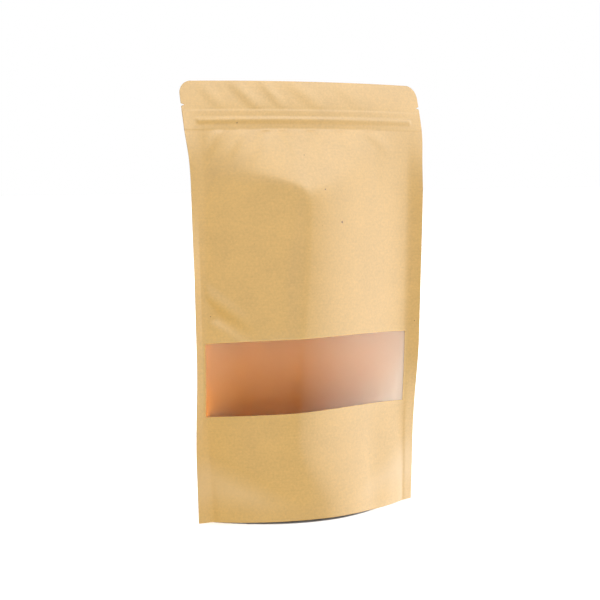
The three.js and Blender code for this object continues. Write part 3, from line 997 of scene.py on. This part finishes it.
class POUCH_OT_studio(bpy.types.Operator):
    """Make the white floor, the light tent with its cards, and the camera"""

    bl_idname = "pouch.studio"
    bl_label = "Studio"

    def execute(self, context):
        scene = context.scene
        self.add_floor(context)
        self.add_tent(scene)
        for cards, for_gloss in ((GLOSS_CARDS, True), (COLOUR_CARDS, False)):
            for name, (*place_and_size, setting) in cards.items():
                add_card(name, *place_and_size, getattr(scene.studio_light, setting), for_gloss)
        self.add_camera(scene)
        scene.view_settings.view_transform = "Standard"
        return {"FINISHED"}

    def add_tent(self, scene):
        """The white all round: at full strength as a backdrop, and dimmer as a light."""
        world = bpy.data.worlds.new("Light tent")
        world.use_nodes = True
        background = world.node_tree.nodes["Background"]
        background.inputs["Color"].default_value = (1, 1, 1, 1)
        seen_white = world.node_tree.nodes.new("ShaderNodeMapRange")
        seen_white.inputs["To Min"].default_value = scene.studio_light.tent
        path = world.node_tree.nodes.new("ShaderNodeLightPath")
        world.node_tree.links.new(path.outputs["Is Camera Ray"], seen_white.inputs["Value"])
        world.node_tree.links.new(seen_white.outputs["Result"], background.inputs["Strength"])
        scene.world = world
        world.cycles_visibility.glossy = False

    def add_floor(self, context):
        """The white floor, which doesn't light, shade or show in the pouch."""
        half = FLOOR_SIDE / 2
        mesh = bpy.data.meshes.new("studio_floor")
        corners = [(-half, -half, 0), (half, -half, 0), (half, half, 0), (-half, half, 0)]
        mesh.from_pydata(corners, [], [(0, 1, 2, 3)])
        mesh.materials.append(finish_for(context, "floor_paint"))
        floor = bpy.data.objects.new("studio_floor", mesh)
        context.scene.collection.objects.link(floor)
        floor.visible_glossy = False
        floor.visible_diffuse = False
        floor.visible_shadow = False
        self.add_floor_light(context, floor)
        self.add_shade(context)

    def add_shade(self, context):
        """The patch of floor under the pouch does stop light, so the gusset is dark underneath."""
        pouch = Pouch(context.scene.pouch_sizes)
        x = np.linspace(-WEB_REACH, WEB_REACH, PATCH_COLUMNS) * pouch.half_panel(0)
        low = np.zeros_like(x)
        up = np.full_like(x, PATCH_HEIGHT)
        front = np.stack([x, pouch.front_y(x, low), up], -1)
        back = np.stack([x, pouch.back_y(x, low), up], -1)
        points = np.concatenate([front, back[::-1]])
        mesh = bpy.data.meshes.new("studio_floor_patch")
        mesh.from_pydata(points.tolist(), [], [tuple(range(len(points)))])
        mesh.materials.append(finish_for(context, "floor_paint"))
        patch = bpy.data.objects.new("studio_floor_patch", mesh)
        context.scene.collection.objects.link(patch)

    def add_floor_light(self, context, floor):
        """A soft light from straight above that whitens the floor alone."""
        light = bpy.data.lights.new("Floor light", "SUN")
        light.energy = context.scene.studio_light.floor_sun
        light.angle = FLOOR_LIGHT_ANGLE
        sun = bpy.data.objects.new("Floor light", light)
        context.scene.collection.objects.link(sun)
        only_floor = bpy.data.collections.new("Lit by the floor light")
        only_floor.objects.link(floor)
        sun.light_linking.receiver_collection = only_floor

    def add_camera(self, scene):
        data = bpy.data.cameras.new("Camera")
        data.lens = CAMERA_LENS
        camera = bpy.data.objects.new("Camera", data)
        scene.collection.objects.link(camera)
        right = Vector((math.cos(CAMERA_AZIMUTH), math.sin(CAMERA_AZIMUTH), 0))
        back = Vector((math.sin(CAMERA_AZIMUTH), -math.cos(CAMERA_AZIMUTH), 0))
        camera.location = back * CAMERA_DISTANCE + right * CAMERA_ASIDE + Vector((0, 0, CAMERA_HEIGHT))
        camera.rotation_euler = (math.pi / 2 - CAMERA_PITCH, 0, CAMERA_AZIMUTH)
        scene.camera = camera


class POUCH_PT_sidebar(bpy.types.Panel):
    """Lists the steps and the sizes of the pouch"""

    bl_label = "Kraft Window Pouch"
    bl_idname = "POUCH_PT_sidebar"
    bl_space_type = "VIEW_3D"
    bl_region_type = "UI"
    bl_category = "Pouch"

    def draw(self, context):
        for group in (context.scene.pouch_sizes, context.scene.pouch_colours, context.scene.studio_light):
            column = self.layout.column(align=True)
            for key in group.__annotations__:
                column.prop(group, key)
        for step in STEPS:
            self.layout.operator(step.bl_idname)


STEPS = (
    POUCH_OT_front_panel,
    POUCH_OT_back_panel,
    POUCH_OT_window_film,
    POUCH_OT_gusset,
    POUCH_OT_studio,
)
GROUPS = {"pouch_sizes": PouchSizes, "pouch_colours": PouchColours, "studio_light": StudioLight}


def register():
    for one in (*GROUPS.values(), *STEPS, POUCH_PT_sidebar):
        bpy.utils.register_class(one)
    for key, group in GROUPS.items():
        setattr(bpy.types.Scene, key, PointerProperty(type=group))


def unregister():
    for key in GROUPS:
        delattr(bpy.types.Scene, key)
    for one in reversed((*GROUPS.values(), *STEPS, POUCH_PT_sidebar)):
        bpy.utils.unregister_class(one)


def main():
    register()
    for step in STEPS:
        getattr(bpy.ops.pouch, step.bl_idname.split(".")[1])()


if __name__ == "__main__":
    main()
